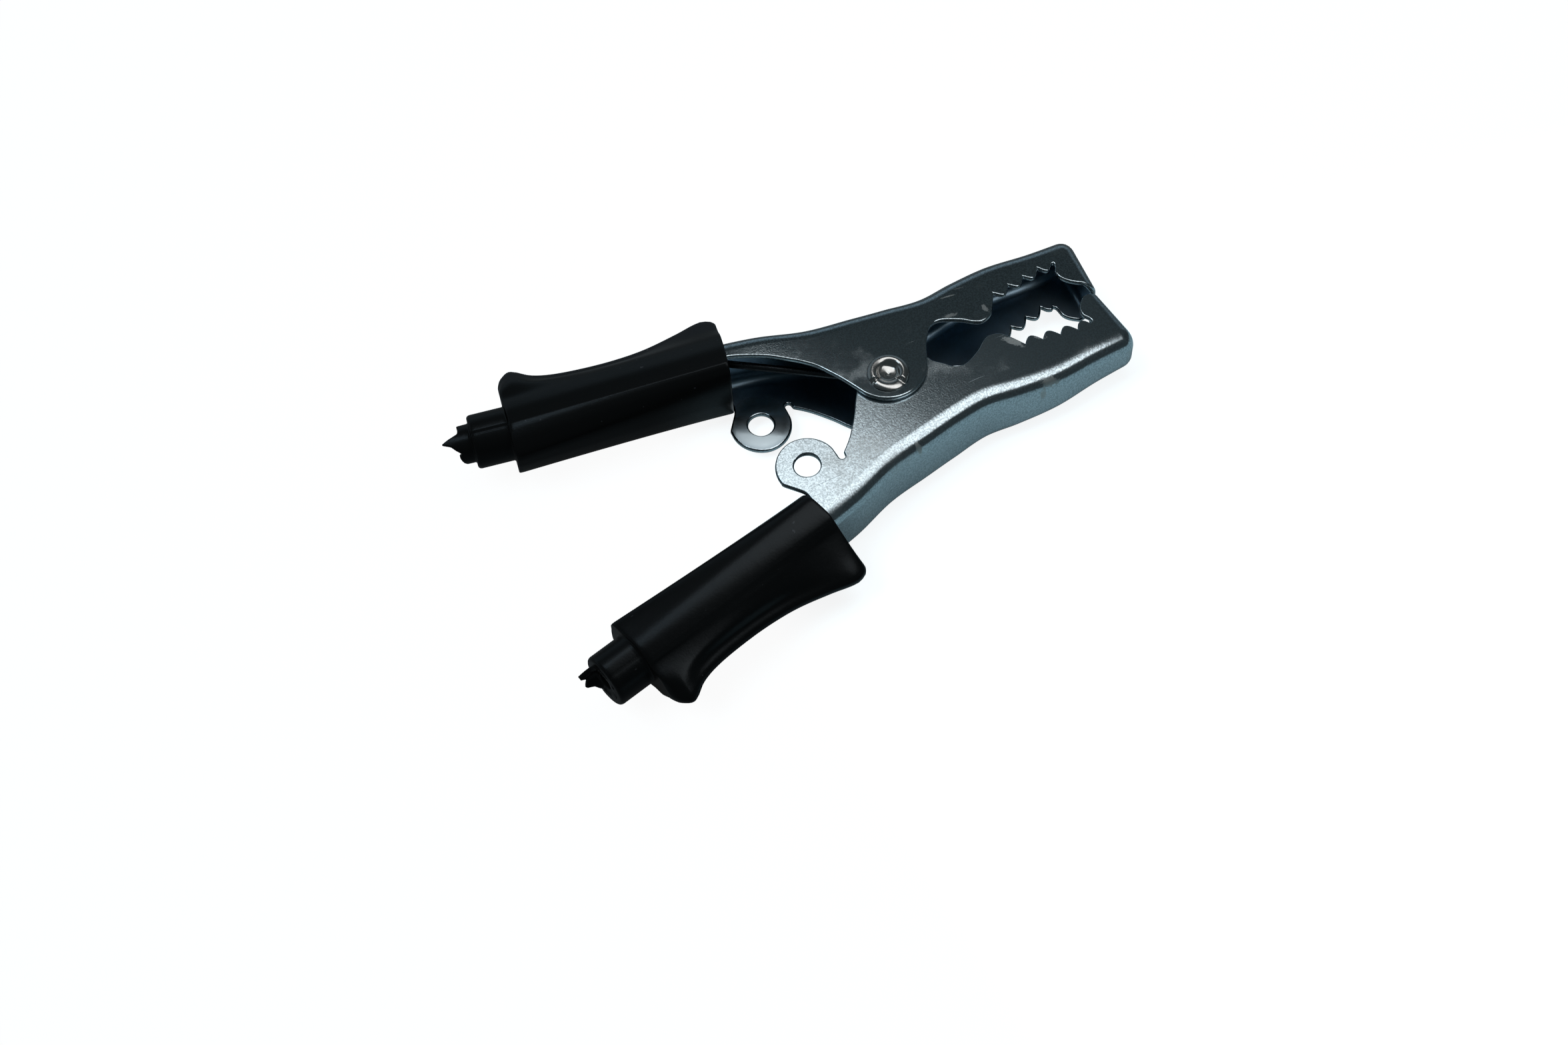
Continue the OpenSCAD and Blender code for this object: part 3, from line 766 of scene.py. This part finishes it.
# One scuffed patch: near 1 inside an ellipse round a place, with a ragged edge
def scuffPatch():
    group, given, out = newGroup(
        "scuffPatch",
        [("Vector", "NodeSocketVector", None), ("Place", "NodeSocketVector", (0, 0, 0)),
         ("Turn", "NodeSocketVector", (0, 0, 0)), ("Size", "NodeSocketVector", (0.001, 0.001, 0.004))],
        [("Mask", "NodeSocketFloat")])
    move = group.nodes.new("ShaderNodeMapping")
    move.vector_type = "TEXTURE"
    link(group, given.outputs["Vector"], move.inputs["Vector"])
    link(group, given.outputs["Place"], move.inputs["Location"])
    link(group, given.outputs["Turn"], move.inputs["Rotation"])
    link(group, given.outputs["Size"], move.inputs["Scale"])
    length = group.nodes.new("ShaderNodeVectorMath")
    length.operation = "LENGTH"
    link(group, move.outputs[0], length.inputs[0])
    ragged = noiseNode(group, given.outputs["Vector"], 900.0, 4, 0.7)
    edge = plus(group, length.outputs["Value"], times(group, ragged, 1.6))
    link(group, mathNode(group, "SUBTRACT", 1.0, between(group, edge, 1.25, 1.75)), out.inputs["Mask"])
    return group


def sharedGroup(maker, name):
    return bpy.data.node_groups.get(name) or maker()


def useGroup(nt, group, **values):
    node = nt.nodes.new("ShaderNodeGroup")
    node.node_tree = group
    for label, value in values.items():
        link(nt, value, node.inputs[label])
    return node


def mixColour(nt, fac, a, b):
    node = nt.nodes.new("ShaderNodeMix")
    node.data_type = "RGBA"
    link(nt, fac, node.inputs["Factor"])
    for socket, value in ((node.inputs[6], a), (node.inputs[7], b)):
        link(nt, value if hasattr(value, "is_output") else (*value, 1), socket)
    return node.outputs[2]


# Zinc plating: peel is the strength of its grain, pits how much of it is darker, marks its scuffs
def platedSteel(name, roughness, peel, pits=0.3, base=None, stainTo=None, marks=()):
    mat, nt, shader = newMaterial(name, 1.0)
    v = objectPlace(nt)
    grain = useGroup(nt, sharedGroup(platingPeel, "platingPeel"), Vector=v)
    wear = useGroup(nt, sharedGroup(handlingWear, "handlingWear"), Vector=v)
    base = base or steel["base"]
    worn = times(nt, wear.outputs["Stain"], steel["stain"])
    for place, long, short, turn, strength in marks:
        patch = useGroup(nt, sharedGroup(scuffPatch, "scuffPatch"), Vector=v, Place=rowPoint(place),
                         Turn=(0, 0, math.radians(turn)), Size=(long * mm, short * mm, 4 * mm))
        worn = mathNode(nt, "MAXIMUM", worn, times(nt, patch.outputs["Mask"], strength))
    pit = between(nt, grain.outputs["Grain"], 0.40, 0.60)
    shade = tuple(steel["pitShade"] * c for c in base)
    colour = mixColour(nt, times(nt, pit, pits), base, shade)
    link(nt, mixColour(nt, worn, colour, stainTo or steel["dull"]), shader.inputs["Base Color"])
    speckle = mathNode(nt, "SUBTRACT", grain.outputs["Grain"], 0.5)
    speckle = times(nt, speckle, steel["grainRough"])
    rough = plus(nt, plus(nt, speckle, roughness), times(nt, worn, steel["wornRough"]))
    scratch = times(nt, wear.outputs["Scratch"], steel["scratchRough"])
    link(nt, mathNode(nt, "ADD", rough, scratch, True), shader.inputs["Roughness"])
    addBump(nt, shader, grain.outputs["Height"], steel["peelHeight"], peel)
    return mat


# Cut edges, with the lines of the shears through the sheet
def shearedSteel():
    mat, nt, shader = newMaterial("shearedSteel", 1.0)
    v = objectPlace(nt)
    lines = noiseNode(nt, v, 1400.0, 3, 0.6, (1.0, 1.0, 0.08, 0))
    colour = mixColour(nt, between(nt, lines, 0.35, 0.65), steel["dull"], steel["base"])
    link(nt, colour, shader.inputs["Base Color"])
    rough = plus(nt, times(nt, lines, 0.3), 0.16)
    link(nt, rough, shader.inputs["Roughness"])
    addBump(nt, shader, lines, 0.06, 0.7)
    return mat


# Painted shade: a darker and rougher plating colour inside the channels, plain plating towards the lugs
def channelShadeSteel():
    mat, nt, shader = newMaterial("channelShadeSteel", 1.0)
    v = objectPlace(nt)
    x, y = lug["at"]
    near = []
    for place in (upperSide((x, y, -11)), lowerSide((x, y, -11))):
        far = nt.nodes.new("ShaderNodeVectorMath")
        far.operation = "DISTANCE"
        link(nt, v, far.inputs[0])
        far.inputs[1].default_value = rowPoint(place)
        near.append(far.outputs["Value"])
    reachOut = mathNode(nt, "MINIMUM", near[0], near[1])
    deep = between(nt, reachOut, lug["r"] * 0.75 * mm, lug["r"] * 1.25 * mm)
    # painted shade: the darker colour deep in the channels, away from the lugs
    link(nt, mixColour(nt, deep, steel["base"], steel["inside"]), shader.inputs["Base Color"])
    cloud = noiseNode(nt, v, 90.0, 3, 0.6)
    rough = plus(nt, times(nt, cloud, 0.12), times(nt, deep, 0.16))
    link(nt, plus(nt, rough, 0.1), shader.inputs["Roughness"])
    return mat


# Soft black plastic, with painted light along the palm side of the upper grip: a paler, smudged colour,
# partly like a bloom on the plastic
def softBlack(name):
    mat, nt, shader = newMaterial(name)
    shader.inputs["Specular IOR Level"].default_value = black["specular"]
    shader.inputs["Specular Tint"].default_value = (*black["sheen"], 1)
    v = objectPlace(nt)
    cloud = between(nt, noiseNode(nt, v, 38.0, 4, 0.6, (0.6, 1.5, 1.0, 14)), 0.46, 0.66)
    speck = between(nt, noiseNode(nt, v, 420.0, 2, 0.5), 0.735, 0.76)
    place = splitPlace(nt, v)
    c, t = math.cos(handleTurn), math.sin(handleTurn)
    across = plus(nt, times(nt, place["X"], t), times(nt, place["Y"], c))
    start = (jaw["handleY"] * c - (reach + jaw["handleX"]) * t + black["paintedLightFrom"]) * mm
    # painted light: only the palm side of the upper grip gets the paler colour
    palmSide = between(nt, across, start, start + 3 * mm)
    cloud = plus(nt, times(nt, cloud, 0.65), 0.35)
    cloud = times(nt, cloud, palmSide)
    colour = mixColour(nt, cloud, black["base"], black["bloomAndLight"])
    link(nt, mixColour(nt, speck, colour, black["speck"]), shader.inputs["Base Color"])
    rough = plus(nt, times(nt, cloud, 0.14), black["roughness"])
    link(nt, rough, shader.inputs["Roughness"])
    skin = plus(nt, noiseNode(nt, v, 1300.0, 3, 0.6), times(nt, noiseNode(nt, v, 110.0, 2, 0.5), 3.0))
    addBump(nt, shader, skin, 0.05, 0.6)
    return mat


def buildJaws():
    smooth = platedSteel("platedSteel", roughness=0.09, peel=0.7, pits=0.55, marks=scuffs[:5])
    grainy = platedSteel("grainySteel", roughness=0.16, peel=2.0, pits=0.45, marks=scuffs[5:])
    cut, within = shearedSteel(), channelShadeSteel()
    for name, node, body, place, lower, plated in (
            ("upper_jaw_pressing", "upper_jaw", "upper_half", upperSide, False, smooth),
            ("lower_jaw_pressing", "lower_jaw", "lower_half", lowerSide, True, grainy)):
        points, faces, normals, sheared = buildSheet(slit=lower)
        print(name + ":", len(points), "points,", len(faces), "faces")
        obj = addMesh(name, turned(points, place), faces, [plated, cut, within], sheared,
                      turnedNormals(normals, lower))
        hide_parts(node)
        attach(obj, body)


grip = {
    "from": 3.0, "to": 75.8, "wall": 1.5, "clear": 0.15, "depth": 8.8,
    "rearDepth": 13.5, "rearWidth": 19.4, "guard": 23.6, "waist": 16.9, "lip": 22.4, "fin": 6.4,
    "tilt": 0.06, "forward": 0.8, "slant": 14.0,  # its mouth leans forward over this length
}
nozzle = {
    "drop": 0.8, "r": 8.8, "length": 12.4, "tipR": 6.4, "bore": 4.8,
    "lowerBore": 2.7,   # the lower mouth is still nearly closed
    "torn": 1.6,        # thickness of the torn points
    "step": 0.16,       # mismatch of the two halves of the mould
    "groove": 0.3,      # and the depth of the line between them
    "seams": (104, -64),  # where the two halves of the mould met, in degrees from the palm side
    "upperTear": [(0, 1), (20, 2), (42, 3.9), (54, 3.3), (84, 4.0), (96, 7.0), (108, 9.5), (120, 7.2),
                  (150, 4), (162, 4.9), (180, 4.4), (216, 2.8), (258, 3.8), (300, 1.4), (330, 2),
                  (360, 1)],
    "lowerTear": [(0, 0.12), (100, 0.12), (120, 1.6), (135, 4.4), (160, 2.6), (190, 5.2), (210, 1.6),
                  (228, 0.12), (360, 0.12)],
}
palmLine = [
    (grip["from"], grip["guard"] - 1.9), (4.4, grip["guard"] - 0.6), (7.2, grip["guard"]),
    (14.7, (grip["guard"] + grip["waist"]) / 2 + 0.9),
    (26.4, grip["waist"] + 1.3), (37.4, grip["waist"] + 0.1), (48.7, grip["waist"]),
    (58.3, grip["waist"] + 0.7), (64.5, (grip["waist"] + grip["lip"]) / 2 - 0.5), (70.8, grip["lip"]),
    (74.4, grip["lip"] - 2.3), (grip["to"] + 0.1, grip["lip"] - 5),
]
sectionSteps = 5


# Point at length s along the handle and height n across it, towards the palm
def onHandle(s, n):
    c, t = math.cos(handleTurn), math.sin(handleTurn)
    return (-jaw["handleX"] - s * c + n * t, jaw["handleY"] + s * t + n * c)


# The same near the grip's mouth, which leans forward
def inMouth(s, n):
    fade = max(0.0, 1 - (s - grip["from"]) / grip["slant"])
    return onHandle(s - fade * fade * (grip["forward"] + grip["tilt"] * (n - 2)), n)


def lookup(table, x):
    for (a, b), (c, d) in zip(table, table[1:]):
        if a <= x <= c:
            return b + (d - b) * (x - a) / (c - a)
    return table[-1][1]


# Section of the grip at s, drawn in by d: (n, z) points, with a corner at the two mould seams
def gripSection(s, d):
    u = (s - grip["from"]) / (grip["to"] - grip["from"])
    f = grip["fin"] / 2
    front = jaw["channel"] / 2 + grip["clear"] + grip["wall"]
    w = front + (grip["rearWidth"] / 2 - front) * u
    top = along(palmLine, s)
    low = -grip["depth"] - (grip["rearDepth"] - grip["depth"]) * max(0, u) ** 1.25
    fold, a, b = 8.9 - 2 * u, w - 0.1, w
    ledge = jaw["tangBack"] + 1.2 - 2 * u
    crease = -3.9 + 0.5 * u
    slope = ledge + 2.2 - crease
    points = [
        (low + d, 0), (low + 0.5 + d, 0.44 * a), (low + 0.42 * (crease - low), 0.78 * a - d / 2),
        (low + 0.75 * (crease - low), 0.94 * a - d),
        (crease, a - d), (crease + 0.25 * slope, 0.972 * a - d), (crease + 0.5 * slope, 0.922 * a - d),
        (crease + 0.76 * slope, 0.81 * a - d),
        (ledge + 2.2, 0.68 * a - d), ((ledge + top) / 2, f + 2.5 - d), (top - 3, f - 0.1 - d),
        (top - 1.2 - d / 2, 0.58 * f - d / 2), (top - 0.2 - d, 0.24 * f), (top - 0.2 - d, -0.24 * f),
        (top - 1.2 - d / 2, -0.58 * f + d / 2), (top - 3, -f + 0.1 + d),
        ((fold + top) / 2, -f - 2.4 + d),
        (fold + 1.6, -0.66 * b + d), (fold, -0.76 * b + d), (fold - 1.4, -0.85 * b + d),
        (fold - 4, -0.97 * b + d), (0, -b + d), (-3.5, -0.97 * b + d), (low + 2.8, -0.84 * b + d),
        (low + 1.1, -0.62 * b + d / 2), (low + 0.25 + d, -0.3 * b)]
    corners = {4, 19}
    n = len(points)
    out = []
    for i in range(n):
        p1, p2 = Vector(points[i]), Vector(points[(i + 1) % n])
        p0 = p1 if i in corners else Vector(points[i - 1])
        p3 = p2 if (i + 1) % n in corners else Vector(points[(i + 2) % n])
        out += [tuple(curvePoint(p0, p1, p2, p3, k / sectionSteps)) for k in range(sectionSteps)]
    return out


# Point of a rounded box round the tang, in the direction of angle a
def pocketPoint(a, w, top, low, r):
    c, t = math.cos(a), math.sin(a)
    lo, hi = 0.0, 40.0
    for _ in range(26):
        best = (lo + hi) / 2
        n, z = best * c, abs(best * t)
        dn = max(n - (top - r), (low + r) - n, 0)
        dz = max(z - (w - r), 0)
        if (dn * dn + dz * dz) ** 0.5 < r and low < n < top and z < w:
            lo = best
        else:
            hi = best
    return best * c, best * t


# One moulding as a closed tube of rings: sleeve, nozzle, torn points, bore, then the pocket
def buildGrip(side, body, place, bore, seed, material):
    tear = nozzle[side + "Tear"]
    rings = []
    rear = gripSection(grip["to"] - 0.6, 0.15)
    angles = [math.atan2(z, n) for n, z in rear]

    def section(s, d):
        rings.append([(*inMouth(s, n), z) for n, z in gripSection(s, d)])

    def circle(s, r, parted=False):
        ring = []
        for a in angles:
            deg = math.degrees(a)
            rr = r
            if parted:
                palmHalf = nozzle["seams"][1] < deg < nozzle["seams"][0]
                rr += nozzle["step"] if palmHalf else 0
                for seam in nozzle["seams"]:
                    rr -= nozzle["groove"] * max(0.0, 1 - abs(deg - seam) / 3.2)
            ring.append((*onHandle(s, rr * math.cos(a) - nozzle["drop"]), rr * math.sin(a)))
        rings.append(ring)

    for s, d in ((3.0, 0.65), (3.06, 0.42), (3.2, 0.22), (3.5, 0.07), (4.1, 0.0)):
        section(s, d)
    s = 5.4
    while s < 69.5:
        section(s, 0)
        s += 1.5
    for s, d in ((70.2, 0), (71.0, 0), (71.8, 0), (72.6, 0), (73.4, 0), (74.1, 0), (74.7, 0.04),
                 (75.2, 0.15), (75.5, 0.32), (75.72, 0.6), (75.8, 1.0)):
        section(s, d)
    root, end = grip["to"], grip["to"] + nozzle["length"]
    r = nozzle["r"]
    circle(root, r + 0.7)
    circle(root + 0.1, r + 0.25, True)
    circle(root + 0.5, r, True)
    for k in range(1, 10):
        circle(root + 0.5 + (nozzle["length"] - 1.8) * k / 10, r, True)
    for back, drop in ((1.2, 0), (0.75, 0.1), (0.35, 0.32), (0.1, 0.65), (0, 1.1)):
        circle(end - back, r - drop, True)
    tip = nozzle["tipR"]
    circle(end, tip + 0.5)
    circle(end + 0.08, tip + 0.15)

    # the torn points up to a share of their height, ragged and curled out at the tips
    def torn(share):
        ring = []
        for a in angles:
            deg = math.degrees(a) % 360
            ragged = 0.22 * noise.noise(Vector((deg * 0.09, seed, 0.5)))
            h = (lookup(tear, deg) + ragged) * share
            rr = tip + 0.02 * max(0.0, h * share - 3.5) ** 1.5 - 0.02 * h
            ring.append((*onHandle(end + h, rr * math.cos(a) - nozzle["drop"]), rr * math.sin(a)))
        return ring

    rings += [torn(share) for share in (0.12, 0.3, 0.5, 0.7, 0.85, 0.96)]
    outer = torn(1.0)
    inner = []
    base = onHandle(0, 0)
    for (x, y, z), a in zip(outer, angles):
        q = onHandle(0, nozzle["torn"] * math.cos(a))
        inner.append((x - (q[0] - base[0]), y - (q[1] - base[1]), z - nozzle["torn"] * math.sin(a)))
    mid = [tuple(Vector(p) * 0.5 + Vector(q) * 0.5) for p, q in zip(outer, inner)]
    rings.append([tuple(Vector(p).lerp(Vector(q), 0.12)) for p, q in zip(outer, mid)])
    rings += [mid, inner]
    circle(end - 0.05, tip - nozzle["torn"] - 0.1)
    circle(end - 0.35, bore + 0.25)
    circle(end - 0.8, bore)
    circle(end - 6, bore)
    circle(60, nozzle["bore"])
    circle(52.5, nozzle["bore"])
    for s in (52, 44, 30, 14, 4.5, 3.4, 3.06):
        x = onHandle(s, jaw["tangBack"])[0]
        w, flare = halfWidth(x) + grip["clear"], max(0, 3.9 - s) * 0.25
        top, low = jaw["tangBack"] + grip["clear"], -grip["depth"] + 2.2
        ring = []
        for a in angles:
            n, z = pocketPoint(a, w + flare, top + flare, low - flare, sheet["bend"] - 0.4)
            ring.append((*inMouth(s, n), z))
        rings.append(ring)
    points = [place(p) for ring in rings for p in ring]
    count = len(rings)
    faces = [f for i in range(count) for f in bandFaces(i, (i + 1) % count, len(angles))]
    obj = addMesh(side + "_grip_moulding", points, faces, [material])
    obj.data.update()
    edge = obj.modifiers.new("keepEdges", "WEIGHTED_NORMAL")
    edge.keep_sharp = False
    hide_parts(side + "_grip")
    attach(obj, body)


def buildGrips():
    soft = softBlack("gripBlack")
    buildGrip("upper", "upper_half", upperSide, nozzle["bore"], 6.2, soft)
    buildGrip("lower", "lower_half", lowerSide, nozzle["lowerBore"], 3.1, soft)
    print("grips ready")


spring = {
    "wire": 2.5, "coil": 12.0, "turns": 4, "pitch": 3.1, "legGap": 0.2, "legReach": 45.0,
    "sides": 14, "colour": (0.06, 0.065, 0.07),
}


def buildSpring():
    s = spring
    r, sweep = s["coil"] / 2, 360 * s["turns"] + 180
    half = s["pitch"] * sweep / 360 / 2
    backY = along(backLine, -s["legReach"])
    legEnd = (-s["legReach"], backY - sheet["thick"] - s["legGap"] - s["wire"] / 2 - 0.8)
    leg = [(legEnd[0], legEnd[1]), (-13, r + 6.0), (-7.5, r + 1.6), (-3.4, r + 0.15)]
    steps = int(24 * sweep / 360)
    flat = arcPoints((0, 0), r, 90, 90 - sweep, steps)
    coil = [(x, y, half * (1 - 2 * i / steps)) for i, (x, y) in enumerate(flat)]
    run = spaced(smoothRun(leg + [(0, r)], 8)[:-1], 1.6)
    legUp = [(x, y, half) for x, y in run]
    path = legUp + coil + [(x, -y, -z) for x, y, z in reversed(legUp)]
    points, faces = [], []
    n = s["sides"]
    count = len(path)
    for i, p in enumerate(path):
        ahead = (Vector(path[min(i + 1, count - 1)]) - Vector(path[max(i - 1, 0)])).normalized()
        side = ahead.cross(Vector((0, 0, 1))).normalized()
        up = side.cross(ahead)
        for k in range(n):
            a = 2 * math.pi * k / n
            points.append(tuple(Vector(p) + s["wire"] / 2 * (side * math.cos(a) + up * math.sin(a))))
    for i in range(count - 1):
        for k in range(n):
            l = (k + 1) % n
            faces.append([i * n + k, (i + 1) * n + k, (i + 1) * n + l, i * n + l])
    faces.append(list(range(n)))
    faces.append([(count - 1) * n + k for k in reversed(range(n))])
    wire = platedSteel("springSteel", roughness=0.3, peel=0.3, base=s["colour"])
    obj = addMesh("spring_wire", points, faces, [wire])
    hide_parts("torsion_spring")
    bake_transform(obj)
    print("spring ready")


rivet = {
    "shank": 3.9, "rim": 6.9, "rolled": 2.0, "dome": 2.18,
    "splits": (-64, -172), "splitWidth": 9,  # in degrees; the part between them is torn and lower
    "colour": (0.46, 0.46, 0.45), "stain": (0.30, 0.28, 0.26),
}


def buildRivet():
    r = rivet
    seat = jaw["channel"] / 2 + sideStep + sheet["plateGap"] / 2
    top = seat + r["rolled"]
    # outline of the rolled head as (radius, height), from the seat over the crest into the hollow
    head = [(6.6, seat), (6.86, seat + 0.12), (6.9, seat + 0.45), (6.78, seat + 0.85),
            (6.45, seat + 1.25), (6.05, seat + 1.62), (5.6, seat + 1.88), (5.15, top),
            (4.75, top - 0.03), (4.35, top - 0.16), (3.95, top - 0.42), (3.6, top - 0.8),
            (3.25, top - 1.3), (2.85, top - 1.66), (2.6, top - 1.78), (2.4, top - 1.84),
            (1.9, top - 1.92), (1.2, top - 2.05), (0.5, top - 2.18)]
    tail = [(r["shank"], seat), (r["shank"], -seat), (6.3, -seat)]
    edge, dome = 0.15, r["dome"] - 0.15
    tail += [(r["rim"] * math.cos(math.radians(a)), -seat - edge - dome * math.sin(math.radians(a)))
             for a in (4, 12, 24, 38, 52, 66, 78, 86)]
    n = 120
    hollow = 3.2  # inside this radius the head is whole
    profile = list(reversed(tail)) + head
    points, faces = [], []
    for rad, z in profile:
        for k in range(n):
            deg = 360 * k / n - 180
            rr, zz = rad, z
            if z > seat + 0.05 and rad > hollow:
                share = min(1.0, (z - seat) / r["rolled"])
                if r["splits"][1] < deg < r["splits"][0]:
                    zz -= share * (0.75 + 0.004 * (deg - r["splits"][1]))
                for cut in r["splits"]:
                    near = max(0.0, 1 - abs(deg - cut) / r["splitWidth"])
                    zz -= near * near * share * 1.2
                    rr -= near * share * 0.5 * (1 if rad > 5.2 else -0.4)
                zz = max(zz, seat + 0.02 + 0.2 * share)
            a = math.radians(deg)
            points.append((rr * math.cos(a), rr * math.sin(a), zz))
    count = len(profile)
    for i in range(count - 1):
        faces += bandFaces(i, i + 1, n)
    points += [(0, 0, profile[0][1] - 0.01), (0, 0, profile[-1][1] - 0.25)]
    for k in range(n):
        l = (k + 1) % n
        faces.append([l, k, count * n])
        faces.append([(count - 1) * n + k, (count - 1) * n + l, count * n + 1])
    metal = platedSteel("rivetSteel", roughness=0.2, peel=0.1, pits=0.05, base=r["colour"],
                        stainTo=r["stain"])
    obj = addMesh("rivet_turned", points, faces, [metal])
    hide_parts("pivot_rivet")
    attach(obj, "lower_half")
    print("rivet ready")


buildCamera()
buildJaws()
buildGrips()
buildSpring()
buildRivet()
buildStudio()
scene = bpy.context.scene
scene.view_settings.view_transform = "Standard"
print("studio ready")
